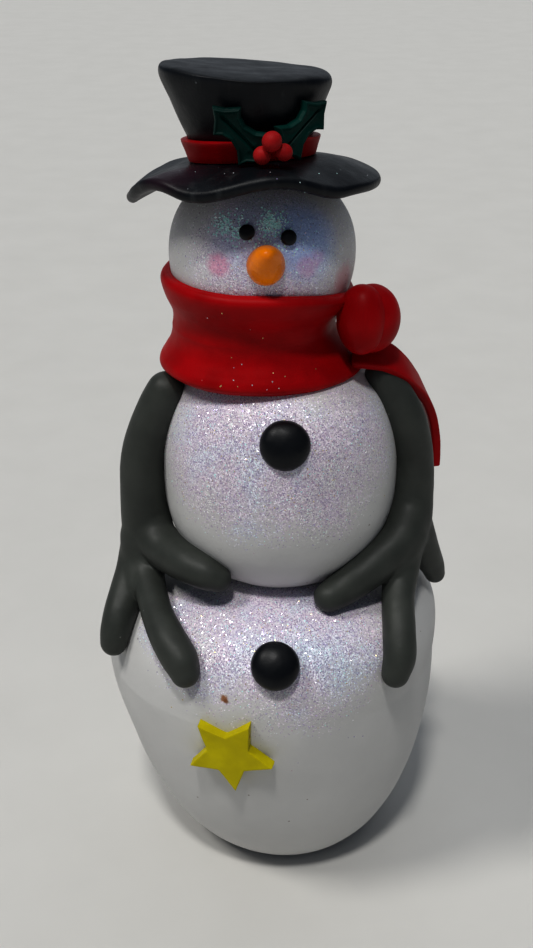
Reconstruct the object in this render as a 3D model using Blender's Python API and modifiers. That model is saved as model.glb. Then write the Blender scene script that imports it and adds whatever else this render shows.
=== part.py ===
"""A hand-modelled clay snowman in a top hat and scarf.

Three white clay balls are pressed onto each other, and every other piece is
pressed onto them. The origin is at the centre of the flat underside, +Z is up
and the face looks along -Y. "Left" and "right" are those of a viewer who
faces the snowman. Lengths are in metres.
"""

import math

import bmesh
import bpy
from mathutils import Matrix, Vector

MM = 0.001
GAP = 0.36 * MM                # air left between two pieces that touch

# The three balls, from the floor up
FOOT_RADIUS = 18.1 * MM        # flat underside
BELLY_RADIUS = 38.7 * MM
BELLY_LEVEL = 52.0 * MM        # height of the widest ring
BELLY_TOP = 23.4 * MM          # shoulder above the widest ring
BELLY_LEAN = -3.4 * MM         # the widest ring stands left of the foot
TOP_LEAN = 2.4 * MM            # and the belly's top leans back to the right
CHEST_CENTRE = Vector((-1.3, 0.0, 97.3)) * MM
CHEST_RADIUS = 26.3 * MM
HEAD_CENTRE = Vector((-5.3, 0.0, 145.6)) * MM
HEAD_RADIUS = 19.2 * MM

# The scarf's collar
RIM_LEVEL = 141.0 * MM
RIM_DROP = 3.0 * MM            # the rim sinks on the right, at the knot
WAIST_LEVEL = 130.3 * MM
HEM_FLATNESS = 0.12            # the hem is narrower from front to back
WAIST_SHIFT = -2.0 * MM        # the knot pulls the waist to the left
SCARF_X = -5.0 * MM

# The hat
HAT_X = -7.2 * MM
CROWN_LEAN = -1.4 * MM         # the crown's top stands left of its foot
HAT_FOOT = 164.4 * MM          # brim's upper face on the hat's axis
HAT_TOP = 181.7 * MM
FOOT_SLOPE = (0.06, -0.12)     # rise of the foot plane per metre of x and y
TOP_SLOPE = (-0.060, -0.05)
BRIM_CENTRE_X = -7.0 * MM
BRIM_RADIUS = 25.5 * MM        # from side to side
BRIM_DEPTH = 24.0 * MM         # from front to back
BRIM_THICKNESS = 2.8 * MM
CROWN_RADIUS = 11.4 * MM       # at the brim
BAND_HEIGHT = 4.1 * MM
BAND_THICKNESS = 0.9 * MM
BAND_FLARE = 1.1 * MM          # it widens upward with the crown

# Small pieces
BUTTON_RADIUS = 5.2 * MM
BUTTON_HEIGHT = 3.3 * MM
EYE_RADIUS = 1.55 * MM
NOSE_RADIUS = 3.8 * MM
NOSE_LENGTH = 7.0 * MM
STAR_RADIUS = 9.8 * MM
STAR_THICKNESS = 2.8 * MM
LEAF_THICKNESS = 1.5 * MM

COLOURS = {                    # colour and roughness of each clay
    "white_clay": ((0.80, 0.79, 0.82), 0.55),
    "hat_black_clay": ((0.012, 0.013, 0.016), 0.55),
    "black_clay": ((0.008, 0.008, 0.009), 0.40),
    "charcoal_clay": ((0.045, 0.052, 0.050), 0.50),
    "red_clay": ((0.55, 0.010, 0.014), 0.40),
    "green_clay": ((0.006, 0.075, 0.045), 0.50),
    "orange_clay": ((0.85, 0.24, 0.01), 0.45),
    "yellow_clay": ((0.85, 0.75, 0.02), 0.50),
}


# ---------------------------------------------------------------- tools

def clear_scene():
    for obj in list(bpy.data.objects):
        bpy.data.objects.remove(obj, do_unlink=True)


def new_collection(name):
    collection = bpy.data.collections.new(name)
    bpy.context.scene.collection.children.link(collection)
    return collection


def make_clay(name):
    colour, roughness = COLOURS[name]
    clay = bpy.data.materials.new(name)
    clay.use_nodes = True
    shader = clay.node_tree.nodes["Principled BSDF"]
    shader.inputs["Base Color"].default_value = (*colour, 1.0)
    shader.inputs["Roughness"].default_value = roughness
    shader.inputs["Metallic"].default_value = 0.0
    return clay


def baked_mesh(obj):
    """The object's mesh with its modifiers applied and its seams welded."""
    graph = bpy.context.evaluated_depsgraph_get()
    mesh = bpy.data.meshes.new_from_object(obj.evaluated_get(graph))
    mesh.transform(obj.matrix_world)
    bm = bmesh.new()
    bm.from_mesh(mesh)
    bmesh.ops.remove_doubles(bm, verts=bm.verts, dist=0.002 * MM)
    bmesh.ops.dissolve_degenerate(bm, edges=bm.edges, dist=0.002 * MM)
    bmesh.ops.recalc_face_normals(bm, faces=bm.faces)
    bm.to_mesh(mesh)
    bm.free()
    return mesh


def as_piece(name, source, clay):
    """Turns a built object into a piece: one plain, smooth, coloured mesh."""
    bpy.context.view_layer.update()
    mesh = baked_mesh(source)
    bpy.data.objects.remove(source, do_unlink=True)
    mesh.name = name
    mesh.materials.clear()
    mesh.materials.append(clays[clay])
    mesh.shade_smooth()
    mesh.set_sharp_from_angle(angle=math.radians(40))
    piece = bpy.data.objects.new(name, mesh)
    pieces.objects.link(piece)
    return piece


def mesh_object(name, vertices, edges=(), faces=()):
    mesh = bpy.data.meshes.new(name)
    mesh.from_pydata([tuple(v) for v in vertices], edges, faces)
    obj = bpy.data.objects.new(name, mesh)
    pieces.objects.link(obj)
    return obj


def turned(name, profile, steps, closed=False):
    """Turns a profile of (radius, height) points about the Z axis.

    The profile runs down its outer side, and a closed one comes back up
    its inner side, which makes a ring.
    """
    points = [(radius, 0.0, height) for radius, height in profile]
    edges = [(i, i + 1) for i in range(len(points) - 1)]
    if closed:
        edges.append((len(points) - 1, 0))
    obj = mesh_object(name, points, edges)
    screw = obj.modifiers.new("turn", "SCREW")
    screw.steps = steps
    screw.render_steps = steps
    screw.use_merge_vertices = True
    screw.merge_threshold = 0.01 * MM
    return obj


def aim(obj, place, direction, roll=0.0):
    """Puts the origin at a place and turns +Z to face a direction."""
    turn = Vector(direction).to_track_quat("Z", "Y").to_matrix().to_4x4()
    obj.matrix_world = Matrix.Translation(place) @ turn @ Matrix.Rotation(roll, 4, "Z")


def press(piece, *neighbours):
    """Cuts a piece back from its neighbours, leaving a thin gap of air."""
    for neighbour in neighbours:
        bpy.context.view_layer.update()
        cutter = bpy.data.objects.new(f"{piece.name}_by_{neighbour.name}", baked_mesh(neighbour))
        cutters.objects.link(cutter)
        swell = cutter.modifiers.new("gap", "DISPLACE")
        swell.strength = GAP
        swell.mid_level = 0.0
        cutter.hide_render = True
        cutter.display_type = "WIRE"
        cut = piece.modifiers.new(f"press_{neighbour.name}", "BOOLEAN")
        cut.operation = "DIFFERENCE"
        cut.solver = "EXACT"
        cut.object = cutter


def join(piece, others):
    """Unites pieces into the first one."""
    for other in others:
        weld = piece.modifiers.new("join", "BOOLEAN")
        weld.operation = "UNION"
        weld.solver = "EXACT"
        weld.object = other
    bpy.context.view_layer.update()
    mesh = baked_mesh(piece)
    piece.modifiers.clear()
    piece.data = mesh
    for other in others:
        bpy.data.objects.remove(other, do_unlink=True)


def superellipse(radius, height, power, count):
    """Quarter outline from the pole (0, height) out to (radius, 0)."""
    points = []
    for i in range(count + 1):
        angle = math.pi / 2 * i / count
        points.append((radius * math.sin(angle) ** (2 / power),
                       height * math.cos(angle) ** (2 / power)))
    return points


# ---------------------------------------------------------------- the balls

def ball(name, centre, radius, above, below, steps=32, rows=7):
    """A ball whose upper and lower halves each have a height and a power."""
    upper = superellipse(radius, above[0], above[1], rows)
    lower = superellipse(radius, below[0], below[1], rows)
    profile = upper + [(r, -z) for r, z in reversed(lower[:-1])]
    profile[0] = (0.0, above[0])
    profile[-1] = (0.0, -below[0])
    obj = turned(name, profile, steps)
    obj.location = centre
    return as_piece(name, obj, "white_clay")


def belly_radius(height):
    """Outline of the belly below its widest ring, rounding in to the foot."""
    depth = 1.0 - height / BELLY_LEVEL
    return FOOT_RADIUS + (BELLY_RADIUS - FOOT_RADIUS) * (1.0 - depth ** 1.67) ** 0.581


def belly():
    shoulder = superellipse(BELLY_RADIUS, BELLY_TOP, 3.0, 7)
    profile = [(radius, BELLY_LEVEL + height) for radius, height in shoulder]
    profile[0] = (0.0, BELLY_LEVEL + BELLY_TOP)
    rows = 9
    for i in range(1, rows + 1):
        height = BELLY_LEVEL * (1.0 - i / rows) ** 1.5
        profile.append((belly_radius(height), height))
    profile.append((0.0, 0.0))
    piece = as_piece("lower_ball", turned("lower_ball", profile, 34), "white_clay")
    for vertex in piece.data.vertices:
        rise = min(vertex.co.z / BELLY_LEVEL, 1.0)
        above = max(vertex.co.z - BELLY_LEVEL, 0.0) / BELLY_TOP
        vertex.co.x += BELLY_LEAN * rise + TOP_LEAN * above
    return piece


# ---------------------------------------------------------------- scarf

def scarf_collar():
    """A waisted clay strip: flared rim under the chin, curled hem below."""
    outer = [(19.8, 142.0), (20.9, 141.5), (21.2, 140.2), (20.0, 137.4), (17.8, 133.8),
             (17.2, 130.4), (18.2, 127.4), (20.0, 125.0), (21.3, 123.4), (21.8, 122.1),
             (21.2, 121.2)]
    inner = [(19.4, 120.8), (14.6, 125.4), (13.6, 131.0), (18.4, 141.0)]
    profile = [(r * MM, z * MM) for r, z in outer + inner]
    obj = turned("scarf_wrap", profile, 32, closed=True)
    obj.location.x = SCARF_X
    piece = as_piece("scarf_wrap", obj, "red_clay")
    reach = RIM_LEVEL - WAIST_LEVEL
    for vertex in piece.data.vertices:
        level = (vertex.co.z - WAIST_LEVEL) / reach
        toward_knot = max(0.0, (vertex.co.x - SCARF_X) / HEAD_RADIUS) ** 2
        vertex.co.x += WAIST_SHIFT * max(0.0, 1.0 - abs(level))
        vertex.co.x -= 0.6 * RIM_DROP * toward_knot * max(0.0, level)
        vertex.co.z -= RIM_DROP * toward_knot * max(0.0, level)
        vertex.co.y *= 1.0 - HEM_FLATNESS * max(0.0, -level)
    return piece


def knot_lobe(name, centre, half, facing):
    """One lobe of the knot: an upright oval bead, half as wide, deep and tall."""
    bpy.ops.mesh.primitive_uv_sphere_add(segments=16, ring_count=10, radius=1.0)
    obj = bpy.context.active_object
    obj.data.transform(Matrix.Diagonal((*half, 1000.0)) * MM)
    obj.location = Vector(centre) * MM
    obj.rotation_euler.z = math.radians(facing)
    return as_piece(name, obj, "red_clay")


def scarf_tail():
    """A strip that leaves the knot, crosses the arm and hangs behind it."""
    route = [  # centre of the strip, and the way its outer face looks
        ((13.4, -5.6, 125.3), (0.0, -0.60, 0.80)),
        ((17.2, -6.0, 125.2), (0.10, -0.60, 0.79)),
        ((20.6, -5.4, 124.3), (0.20, -0.56, 0.80)),
        ((23.5, -4.0, 122.0), (0.42, -0.46, 0.78)),
        ((26.5, -1.6, 118.4), (0.66, -0.26, 0.70)),
        ((29.4, 1.2, 113.6), (0.86, 0.02, 0.50)),
        ((31.3, 3.2, 108.4), (0.94, 0.20, 0.26)),
        ((32.3, 4.2, 103.2), (0.96, 0.27, 0.08)),
        ((32.7, 4.2, 98.6), (0.96, 0.28, 0.0)),
        ((32.7, 4.0, 95.4), (0.96, 0.28, 0.0)),
    ]
    width = 7.0 * MM
    thickness = 2.1 * MM
    vertices = []
    for i, (place, outward) in enumerate(route):
        before = Vector(route[max(i - 1, 0)][0])
        after = Vector(route[min(i + 1, len(route) - 1)][0])
        across = (after - before).cross(Vector(outward)).normalized()
        for side in (-0.5, 0.0, 0.5):
            vertices.append(Vector(place) * MM + across * width * side)
    faces = []
    for row in range(len(route) - 1):
        for column in range(2):
            corner = row * 3 + column
            faces.append((corner, corner + 1, corner + 4, corner + 3))
    obj = mesh_object("scarf_tail", vertices, faces=faces)
    solid = obj.modifiers.new("thickness", "SOLIDIFY")
    solid.thickness = thickness
    solid.offset = 0.0
    edge = obj.modifiers.new("soft_edges", "BEVEL")
    edge.width = 0.5 * MM
    edge.segments = 1
    edge.limit_method = "ANGLE"
    edge.angle_limit = math.radians(50)
    return as_piece("scarf_tail", obj, "red_clay")


# ---------------------------------------------------------------- arms

def clay_rope(name, stations):
    """A round clay rope through (x, y, z, radius) stations, with round ends."""
    curve = bpy.data.curves.new(name, "CURVE")
    curve.dimensions = "3D"
    curve.bevel_depth = 1.0
    curve.bevel_resolution = 3
    curve.use_fill_caps = True
    curve.resolution_u = 3
    first, second = (Vector(s[:3]) for s in stations[:2])
    last, previous = (Vector(s[:3]) for s in (stations[-1], stations[-2]))
    ends = []
    for tip, inner, radius in ((first, second, stations[0][3]), (last, previous, stations[-1][3])):
        out = (tip - inner).normalized() * radius
        ends.append([(*(tip + out * reach), radius * size)
                     for reach, size in ((0.55, 0.83), (0.88, 0.48), (0.99, 0.14))])
    points = ends[0][::-1] + list(stations) + ends[1]
    spline = curve.splines.new("POLY")
    spline.points.add(len(points) - 1)
    for point, (x, y, z, radius) in zip(spline.points, points):
        point.co = (x * MM, y * MM, z * MM, 1.0)
        point.radius = radius * MM
    obj = bpy.data.objects.new(name, curve)
    pieces.objects.link(obj)
    return as_piece(name, obj, "charcoal_clay")


def arm(name, limb, fingers):
    """A forked arm: one rope for the limb, and three fingers joined to it."""
    piece = clay_rope(name, limb)
    join(piece, [clay_rope(f"{name}_finger", finger) for finger in fingers])
    return piece


def arm_left():
    limb = [(-25.6, -4.6, 116.2, 4.2), (-27.4, -4.8, 112.4, 4.5), (-29.8, -4.5, 106.4, 4.7),
            (-31.4, -4.3, 100.0, 4.8), (-31.7, -4.6, 93.0, 4.9), (-31.4, -5.0, 86.5, 5.3),
            (-30.8, -6.0, 81.0, 5.6)]
    inner = [(-30.6, -5.2, 86.2, 4.8), (-29.4, -7.6, 82.8, 4.8), (-26.6, -11.0, 81.2, 4.6),
             (-23.7, -14.8, 81.2, 4.3), (-20.7, -18.2, 81.3, 4.0), (-17.6, -20.4, 80.8, 3.6),
             (-14.8, -20.9, 79.6, 2.9)]
    middle = [(-31.3, -5.0, 84.6, 4.9), (-31.8, -6.8, 79.2, 4.5), (-31.3, -9.8, 75.4, 4.0),
              (-30.2, -14.4, 73.4, 3.5), (-28.0, -21.8, 71.4, 3.4), (-25.2, -28.4, 69.3, 3.7),
              (-22.6, -32.6, 66.9, 3.8), (-21.5, -34.2, 64.7, 3.1)]
    outer = [(-31.6, -4.8, 84.2, 4.9), (-32.8, -6.0, 78.6, 4.5), (-34.2, -8.6, 74.0, 4.0),
             (-35.6, -12.2, 70.8, 3.8), (-36.9, -15.9, 67.6, 3.6), (-37.8, -17.9, 64.4, 3.4),
             (-38.3, -18.6, 61.8, 3.0)]
    return arm("arm_left", limb, [inner, middle, outer])


def arm_right():
    limb = [(19.7, -4.8, 119.8, 3.4), (22.2, -5.5, 116.4, 3.8), (24.7, -6.8, 112.4, 4.0),
            (26.4, -6.8, 107.6, 4.0), (27.7, -5.6, 101.0, 4.1), (27.8, -5.9, 93.5, 4.5),
            (27.0, -8.2, 87.5, 5.0), (25.4, -10.4, 83.6, 4.9)]
    inner = [(27.0, -8.2, 88.6, 4.8), (25.2, -11.4, 84.6, 4.7), (21.0, -15.2, 81.8, 4.4),
             (16.3, -18.4, 79.3, 4.1), (11.9, -20.2, 76.8, 3.8), (9.0, -22.2, 75.9, 3.2)]
    middle = [(26.6, -8.8, 87.4, 4.7), (25.9, -11.2, 82.4, 4.3), (25.1, -14.4, 77.6, 3.9),
              (24.2, -19.2, 73.8, 3.5), (24.0, -25.9, 69.8, 3.5), (23.9, -29.6, 65.6, 3.4),
              (23.0, -31.1, 62.2, 2.9)]
    outer = [(27.4, -7.6, 88.4, 4.3), (29.2, -7.6, 83.0, 3.9), (31.4, -6.0, 77.6, 3.3),
             (33.3, -4.2, 73.4, 2.9), (34.6, -2.6, 69.8, 2.5)]
    return arm("arm_right", limb, [inner, middle, outer])


# ---------------------------------------------------------------- hat

def foot_plane(x, y):
    """Height of the brim's upper face under the crown."""
    return HAT_FOOT + FOOT_SLOPE[0] * (x - HAT_X) + FOOT_SLOPE[1] * y


def top_plane(x, y):
    return HAT_TOP + TOP_SLOPE[0] * (x - HAT_X) + TOP_SLOPE[1] * y


def set_on_hat(piece):
    """Maps a piece made about the Z axis, with its height as a share of the
    crown's height, into the space between the hat's two sloping planes."""
    for vertex in piece.data.vertices:
        share = vertex.co.z
        x = vertex.co.x + HAT_X + CROWN_LEAN * share
        foot = foot_plane(x, vertex.co.y)
        vertex.co = (x, vertex.co.y, foot + share * (top_plane(x, vertex.co.y) - foot))


def crown():
    """The flared crown, wider at its rounded top than at the band."""
    foot = CROWN_RADIUS / MM
    flared = foot + BAND_FLARE / MM
    profile = [(0.0, 0.985), (14.2, 1.0), (15.8, 0.99), (16.6, 0.957), (16.85, 0.90),
               (16.7, 0.83), (15.8, 0.71), (14.2, 0.49), (flared, 0.26), (foot, 0.02),
               (0.0, 0.02)]
    points = [(radius * MM, share) for radius, share in profile]
    piece = as_piece("hat_crown", turned("hat_crown", points, 32), "hat_black_clay")
    set_on_hat(piece)
    return piece


def band():
    top = BAND_HEIGHT / (HAT_TOP - HAT_FOOT)
    bottom = 0.02
    inside = CROWN_RADIUS + GAP
    outside = inside + BAND_THICKNESS
    flare = BAND_FLARE
    soft = 0.2 * MM
    profile = [(inside + flare, top), (outside + flare - soft, top), (outside + flare, top * 0.92),
               (outside, bottom * 2), (outside - soft, bottom), (inside, bottom)]
    obj = turned("hat_band", profile, 32, closed=True)
    piece = as_piece("hat_band", obj, "red_clay")
    set_on_hat(piece)
    return piece


def rim_level(angle):
    """Height of the brim's wavy rim. Angles run from the front to the right."""
    waves = [(-180, 160.2), (-145, 159.0), (-93, 155.8), (-45, 162.5), (-27, 161.0),
             (10, 164.4), (45, 160.8), (95, 159.5), (130, 159.8), (180, 160.2)]
    for (start, low), (end, high) in zip(waves, waves[1:]):
        if angle <= end:
            share = (angle - start) / (end - start)
            break
    ease = (1.0 - math.cos(math.pi * share)) / 2.0
    return (low + (high - low) * ease) * MM


def brim():
    """A thick wavy disc that droops all round except in front."""
    steps = 36
    rings = [0.0, 0.5, 0.68, 0.85, 1.0]
    middle = HAT_X + 1.0 * MM
    centre = Vector((middle, 0.0, foot_plane(middle, 0.0) - BRIM_THICKNESS / 2))
    vertices = [centre]
    for ring in rings[1:]:
        for step in range(steps):
            angle = -180 + 360 * step / steps
            x = BRIM_CENTRE_X + BRIM_RADIUS * ring * math.sin(math.radians(angle))
            y = -BRIM_DEPTH * ring * math.cos(math.radians(angle))
            near = foot_plane(x, y) - BRIM_THICKNESS / 2
            bend = max(0.0, (ring - 0.5) / 0.5) ** 1.3
            vertices.append(Vector((x, y, near + (rim_level(angle) - near) * bend)))
    faces = [(0, 1 + step, 1 + (step + 1) % steps) for step in range(steps)]
    for row in range(len(rings) - 2):
        for step in range(steps):
            a = 1 + row * steps + step
            b = 1 + row * steps + (step + 1) % steps
            faces.append((a, a + steps, b + steps, b))
    obj = mesh_object("hat_brim", vertices, faces=faces)
    solid = obj.modifiers.new("thickness", "SOLIDIFY")
    solid.thickness = BRIM_THICKNESS
    solid.offset = 0.0
    edge = obj.modifiers.new("round_rim", "BEVEL")
    edge.width = 0.9 * MM
    edge.segments = 2
    edge.limit_method = "ANGLE"
    edge.angle_limit = math.radians(60)
    return as_piece("hat_brim", obj, "hat_black_clay")


def leaf(name, tip, along, outward):
    """A cutter-made holly leaf: a pointed tip, two pairs of points, a stem.

    It runs from its tip towards its stem, with one face looking outward.
    """
    half = [(0.0, 0.0), (1.9, 1.4), (3.7, 3.6), (4.9, 2.4), (6.6, 1.9), (8.8, 2.5),
            (11.0, 4.3), (11.6, 2.6), (13.0, 1.3)]
    outline = half + [(x, -y) for x, y in reversed(half[1:])]
    curve = bpy.data.curves.new(name, "CURVE")
    curve.dimensions = "2D"
    curve.fill_mode = "BOTH"
    curve.extrude = LEAF_THICKNESS / 2
    spline = curve.splines.new("POLY")
    spline.points.add(len(outline) - 1)
    for point, (x, y) in zip(spline.points, outline):
        point.co = (x * MM, y * MM, 0.0, 1.0)
    spline.use_cyclic_u = True
    obj = bpy.data.objects.new(name, curve)
    pieces.objects.link(obj)
    along = Vector(along).normalized()
    across = Vector(outward).cross(along).normalized()
    turn = Matrix((along, across, along.cross(across))).transposed()
    obj.matrix_world = Matrix.Translation(Vector(tip) * MM) @ turn.to_4x4()
    return as_piece(name, obj, "green_clay")


def berry(name, place, radius):
    bpy.ops.mesh.primitive_uv_sphere_add(segments=14, ring_count=9, radius=radius * MM)
    obj = bpy.context.active_object
    obj.location = Vector(place) * MM
    return as_piece(name, obj, "red_clay")


# ---------------------------------------------------------------- small pieces

def button(name, place, direction):
    """A flattened dome with a thin upright rim."""
    dome = superellipse(BUTTON_RADIUS, BUTTON_HEIGHT, 2.3, 5)
    profile = [(r, z) for r, z in dome]
    profile[0] = (0.0, BUTTON_HEIGHT)
    profile += [(BUTTON_RADIUS * 0.97, -0.7 * MM), (0.0, -0.7 * MM)]
    obj = turned(name, profile, 20)
    aim(obj, Vector(place) * MM, direction)
    return as_piece(name, obj, "black_clay")


def eye(name, place):
    place = Vector(place) * MM
    dome = superellipse(EYE_RADIUS, 0.9 * MM, 2.2, 4)
    profile = [(0.0, 0.9 * MM)] + dome[1:] + [(EYE_RADIUS * 0.9, -0.5 * MM), (0.0, -0.5 * MM)]
    obj = turned(name, profile, 16)
    aim(obj, place, place - HEAD_CENTRE)
    return as_piece(name, obj, "black_clay")


def nose():
    """A short blunt cone that points forward and a little up."""
    shape = [(0.0, 1.0), (0.16, 0.985), (0.34, 0.90), (0.58, 0.68), (0.80, 0.42),
             (0.95, 0.16), (1.0, -0.05), (0.97, -0.25), (0.0, -0.30)]
    profile = [(radius * NOSE_RADIUS, along * NOSE_LENGTH) for radius, along in shape]
    obj = turned("nose", profile, 20)
    rise = math.radians(34)
    aim(obj, Vector((-4.5, -18.5, 148.0)) * MM, (0.04, -math.cos(rise), math.sin(rise)))
    return as_piece("nose", obj, "orange_clay")


def star():
    """A five-pointed cutter star, two points up, with soft edges."""
    curve = bpy.data.curves.new("star", "CURVE")
    curve.dimensions = "2D"
    curve.fill_mode = "BOTH"
    curve.extrude = STAR_THICKNESS / 2
    spline = curve.splines.new("POLY")
    spline.points.add(9)
    for i, point in enumerate(spline.points):
        radius = STAR_RADIUS * (1.0 if i % 2 == 0 else 0.50)
        angle = math.radians(36 * i - 90)
        point.co = (radius * math.cos(angle), radius * math.sin(angle), 0.0, 1.0)
    spline.use_cyclic_u = True
    obj = bpy.data.objects.new("star", curve)
    pieces.objects.link(obj)
    side = math.radians(-13.0)
    aim(obj, Vector((-12.2, -38.2, 46.8)) * MM, (math.sin(side), -math.cos(side), -0.03),
        math.radians(8))
    piece = as_piece("star", obj, "yellow_clay")
    edge = piece.modifiers.new("soft_edges", "BEVEL")
    edge.width = 0.55 * MM
    edge.segments = 1
    edge.limit_method = "ANGLE"
    edge.angle_limit = math.radians(30)
    return piece


# ---------------------------------------------------------------- assembly

def build():
    lower = belly()
    chest = ball("middle_ball", CHEST_CENTRE, CHEST_RADIUS,
                 (27.2 * MM, 2.8), (26.5 * MM, 2.55))
    press(chest, lower)
    head = ball("head", HEAD_CENTRE, HEAD_RADIUS, (17.2 * MM, 2.15), (20.7 * MM, 2.0), 30)
    press(head, chest)

    scarf = scarf_collar()
    press(scarf, chest, head)
    front_lobe = knot_lobe("scarf_knot_front", (14.8, -9.8, 134.0), (5.1, 5.3, 7.4), 24)
    press(front_lobe, scarf)
    back_lobe = knot_lobe("scarf_knot_back", (17.0, -7.6, 133.5), (6.0, 5.5, 7.2), 8)
    press(back_lobe, scarf, front_lobe)

    left_arm = arm_left()
    press(left_arm, lower, chest, scarf)
    right_arm = arm_right()
    press(right_arm, lower, chest, scarf)
    tail = scarf_tail()
    press(tail, chest, scarf, front_lobe, back_lobe, right_arm)

    hat_brim = brim()
    press(hat_brim, head)
    hat_crown = crown()
    hat_band = band()
    leaf_left = leaf("holly_leaf_left", (-14.2, -16.4, 176.9), (8.8, 0.6, -9.0), (-0.12, -1.0, -0.1))
    press(leaf_left, hat_crown, hat_band, hat_brim)
    leaf_right = leaf("holly_leaf_right", (6.6, -9.7, 176.8), (-7.6, -5.2, -7.4), (0.56, -0.83, 0.0))
    press(leaf_right, hat_crown, hat_band, hat_brim, leaf_left)
    berry_top = berry("berry_top", (-3.4, -19.0, 171.2), 1.9)
    press(berry_top, leaf_left, leaf_right)
    berry_left = berry("berry_left", (-5.2, -17.6, 168.4), 1.75)
    press(berry_left, leaf_left, leaf_right, hat_band, berry_top)
    berry_right = berry("berry_right", (-1.2, -18.0, 169.0), 1.65)
    press(berry_right, leaf_left, leaf_right, hat_band, berry_top, berry_left)

    press(eye("eye_left", (-8.1, -17.3, 154.0)), head)
    press(eye("eye_right", (-0.2, -17.4, 153.0)), head)
    press(nose(), head)
    press(button("button_upper", (-0.7, -23.3, 112.3), (0.0, -0.90, 0.43)), chest)
    press(button("button_lower", (-2.6, -35.9, 67.7), (0.02, -0.77, 0.64)), lower)
    press(star(), lower)


clear_scene()
pieces = new_collection("clay_snowman")
cutters = new_collection("cutters")
clays = {name: make_clay(name) for name in COLOURS}
build()
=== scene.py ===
import math

import bpy
import numpy as np
from mathutils import Matrix, Vector


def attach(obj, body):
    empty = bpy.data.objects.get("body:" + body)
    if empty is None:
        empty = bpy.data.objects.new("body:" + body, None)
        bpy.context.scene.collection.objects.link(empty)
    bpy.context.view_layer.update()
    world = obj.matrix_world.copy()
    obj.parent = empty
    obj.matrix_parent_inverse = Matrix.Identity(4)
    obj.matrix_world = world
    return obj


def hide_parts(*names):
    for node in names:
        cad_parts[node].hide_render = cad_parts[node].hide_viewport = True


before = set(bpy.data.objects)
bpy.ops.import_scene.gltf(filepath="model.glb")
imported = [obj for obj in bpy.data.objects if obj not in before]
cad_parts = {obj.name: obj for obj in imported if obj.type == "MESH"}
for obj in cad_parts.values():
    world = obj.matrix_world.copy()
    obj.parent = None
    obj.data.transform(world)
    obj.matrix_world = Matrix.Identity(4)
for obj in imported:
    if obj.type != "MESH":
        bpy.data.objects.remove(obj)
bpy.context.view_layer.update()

mm = 0.001
scene = bpy.context.scene


# Helpers. Shapes are worked out in millimetres and turned into metres when a piece is made

def smoothPath(points, count, loop=False):
    # passes through every point and rounds off what is between them
    p = np.array(points, float)
    ends = np.vstack([p[-1:], p, p[:2]]) if loop else np.vstack([2 * p[0] - p[1], p, 2 * p[-1] - p[-2]])
    spans = len(p) if loop else len(p) - 1
    t = np.linspace(0, spans, count, endpoint=not loop)
    i = np.minimum(t.astype(int), spans - 1)
    f = (t - i)[:, None]
    a, b, c, d = ends[i], ends[i + 1], ends[i + 2], ends[i + 3]
    return 0.5 * (2 * b + (c - a) * f + (2 * a - 5 * b + 4 * c - d) * f ** 2
                  + (3 * b - a - 3 * c + d) * f ** 3)


def evenly(points, spacing):
    # the same line with its points an even distance apart
    p = np.array(points, float)
    run = np.concatenate([[0], np.cumsum(np.linalg.norm(np.diff(p, axis=0), axis=1))])
    count = max(3, int(round(run[-1] / spacing)) + 1)
    at = np.linspace(0, run[-1], count)
    return np.stack([np.interp(at, run, p[:, k]) for k in range(p.shape[1])], axis=1)


def step(value, low, high):
    t = np.clip((value - low) / (high - low), 0, 1)
    return t * t * (3 - 2 * t)


def loft(rows, top=None, bottom=None, ring=False):
    # rows of points, each row a closed loop, joined by faces that look outward
    count, steps = rows.shape[:2]
    verts = rows.reshape(-1, 3)
    faces = []
    for i in range(count if ring else count - 1):
        a, b = i * steps, ((i + 1) % count) * steps
        faces += [(a + j, b + j, b + (j + 1) % steps, a + (j + 1) % steps) for j in range(steps)]
    if top is not None:
        tip = len(verts)
        verts = np.vstack([verts, top])
        faces += [(tip, j, (j + 1) % steps) for j in range(steps)]
    if bottom is not None:
        tip = len(verts)
        verts = np.vstack([verts, bottom])
        last = (count - 1) * steps
        faces += [(last + j, tip, last + (j + 1) % steps) for j in range(steps)]
    return verts, faces


def turned(outline, steps, ring=False):
    # turns (radius, height) points about Z. An open outline starts and ends on the axis
    o = np.array(outline, float)
    angle = np.linspace(0, 2 * np.pi, steps, endpoint=False)
    inside = o if ring else o[1:-1]
    rows = np.stack([inside[:, :1] * np.cos(angle), inside[:, :1] * np.sin(angle),
                     np.repeat(inside[:, 1:], steps, axis=1)], axis=2)
    if ring:
        return loft(rows, ring=True)
    return loft(rows, top=(0, 0, o[0, 1]), bottom=(0, 0, o[-1, 1]))


def normalsOf(verts, faces):
    total = np.zeros_like(verts)
    for size in (3, 4):
        f = np.array([face for face in faces if len(face) == size])
        if len(f):
            cross = np.cross(verts[f[:, 2]] - verts[f[:, 0]], verts[f[:, -1]] - verts[f[:, 1]])
            for k in range(size):
                np.add.at(total, f[:, k], cross)
    return total / np.maximum(np.linalg.norm(total, axis=1, keepdims=True), 1e-9)


def byHand(verts, faces, seed, waves, dents=(), swell=0.0):
    # pushes the skin in a little here and there, as fingers do. waves are (depth, size) pairs
    rng = np.random.default_rng(seed)
    depth = np.full(len(verts), -swell)
    for amount, size in waves:
        ripple = np.zeros(len(verts))
        for _ in range(9):
            way = rng.normal(size=3)
            way /= np.linalg.norm(way)
            pitch = size * rng.uniform(0.7, 1.5)
            ripple += np.sin(verts @ way * (2 * np.pi / pitch) + rng.uniform(0, 2 * np.pi))
        depth += amount * (0.5 + 0.5 * np.tanh(ripple / 3))
    for x, y, z, wide, deep in dents:
        away = np.linalg.norm(verts - (x, y, z), axis=1)
        depth += deep * np.exp(-(away / wide) ** 2)
    return verts - normalsOf(verts, faces) * depth[:, None]


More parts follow.
